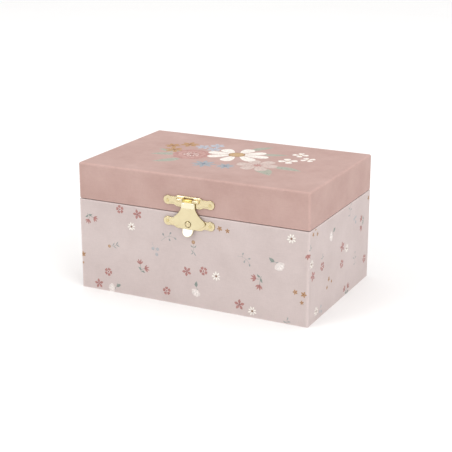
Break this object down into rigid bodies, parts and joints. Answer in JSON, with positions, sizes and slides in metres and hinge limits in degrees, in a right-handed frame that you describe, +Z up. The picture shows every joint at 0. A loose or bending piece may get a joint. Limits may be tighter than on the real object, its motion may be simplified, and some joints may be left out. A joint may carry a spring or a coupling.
{
  "type": "ballerina jewellery box",
  "caption": "Paper-covered hinged jewellery box with a brass hasp clasp, inner mirror, ring rolls and a wind-up musical movement that turns a ballerina on a stage.",
  "frame": {"origin": "centre of the box's footprint on the resting plane", "axes": "+X to the right along the width, +Y to the back (hinges), -Y to the front (clasp), +Z up"},
  "size_m": [0.175, 0.1192, 0.092],
  "materials": {
    "lid_paper": "matte",
    "body_paper": "matte",
    "greyboard": "matte",
    "lining_flock": "flocked",
    "stage_satin": "satin",
    "pad_velvet": "velvet",
    "ledge_wood": "raw",
    "mirror_glass": "polished",
    "frame_card": "matte",
    "brass_plate": "polished",
    "brass_movement": "satin",
    "steel": "brushed",
    "key_steel": "polished",
    "white_plastic": "gloss",
    "doll_plastic": "painted",
    "tulle": "sheer",
    "felt": "felt"
  },
  "bodies": {
    "base": {"base_wrap_paper": "body_paper", "base_front_board": "greyboard", "base_back_board": "greyboard", "base_side_boards": "greyboard", "base_floor_board": "greyboard", "base_lining": "lining_flock", "stage_deck": "greyboard", "stage_riser": "greyboard", "stage_cover": "stage_satin", "stage_ledges": "ledge_wood", "tray_dividers": "lining_flock", "tray_floor_pads": "pad_velvet", "ring_shelf": "greyboard", "ring_roll_pads": "pad_velvet", "hinge_base_leaves": "brass_plate", "hinge_pins": "steel", "base_nails": "brass_plate", "clasp_keeper_plate": "brass_plate", "movement_bedplate": "brass_movement", "movement_screws": "steel", "clutch_spring": "steel", "cylinder_bracket_left": "brass_movement", "cylinder_bracket_right": "brass_movement", "governor_pillar": "brass_movement", "governor_bracket": "steel", "comb_ledge": "brass_movement", "tone_comb": "steel", "comb_screws": "steel", "stop_spring": "steel"},
    "lid": {"lid_wrap_paper": "lid_paper", "lid_top_board": "greyboard", "lid_front_board": "greyboard", "lid_back_board": "greyboard", "lid_side_boards": "greyboard", "lid_lining": "lining_flock", "mirror_glass": "mirror_glass", "mirror_frame": "frame_card", "lid_press_block": "ledge_wood", "hinge_lid_leaves": "brass_plate", "lid_nails": "brass_plate", "clasp_hinge_plate": "brass_plate", "clasp_pin": "brass_plate"},
    "hasp": {"clasp_hasp": "brass_plate"},
    "dancer": {"spring_barrel": "brass_movement", "mainspring": "steel", "dancer_pedestal": "white_plastic", "ballerina_spring": "steel", "ballerina_figure": "doll_plastic", "ballerina_skirt": "tulle"},
    "winder": {"winding_shaft": "steel", "winding_key": "key_steel"},
    "cylinder": {"cylinder_arbor": "steel", "pinned_cylinder": "brass_movement"},
    "governor": {"governor_wheel": "brass_movement"},
    "fan": {"worm_shaft": "steel", "fan_blades": "white_plastic"},
    "stop_rod": {"stop_plunger": "steel", "stop_felt": "felt"}
  },
  "joints": [
    {"name": "lid_hinge", "type": "hinge", "parent": "base", "child": "lid", "pos_m": [0, 0.0581, 0.066], "axis": [-1, 0, 0], "range_deg": [0, 100]},
    {"name": "hasp_hinge", "type": "hinge", "parent": "lid", "child": "hasp", "pos_m": [0, -0.05835, 0.0756], "axis": [-1, 0, 0], "range_deg": [0, 135]},
    {"name": "dancer_turn", "type": "hinge", "parent": "base", "child": "dancer", "pos_m": [0, 0.027, 0.03], "axis": [0, 0, 1], "continuous": true},
    {"name": "cylinder_turn", "type": "hinge", "parent": "base", "child": "cylinder", "pos_m": [0.0256, 0.027, 0.0235], "axis": [1, 0, 0], "continuous": true},
    {"name": "governor_turn", "type": "hinge", "parent": "base", "child": "governor", "pos_m": [0.038, 0.037, 0.0235], "axis": [1, 0, 0], "continuous": true},
    {"name": "fan_turn", "type": "hinge", "parent": "base", "child": "fan", "pos_m": [0.0386, 0.0434, 0.022], "axis": [0, 0, 1], "continuous": true},
    {"name": "key_wind", "type": "hinge", "parent": "base", "child": "winder", "pos_m": [0, 0.027, 0.01], "axis": [0, 0, -1], "continuous": true},
    {"name": "stop_lift", "type": "slide", "parent": "base", "child": "stop_rod", "axis": [0, 0, 1], "range_m": [0, 0.0025], "deforming": ["stop_spring"]}
  ],
  "couplings": [
    {"joint": "cylinder_turn", "follows": "dancer_turn", "ratio": -3},
    {"joint": "governor_turn", "follows": "dancer_turn", "ratio": 12},
    {"joint": "fan_turn", "follows": "dancer_turn", "ratio": -288},
    {"joint": "stop_lift", "follows": "lid_hinge", "m_per_rad": 0.00143}
  ]
}
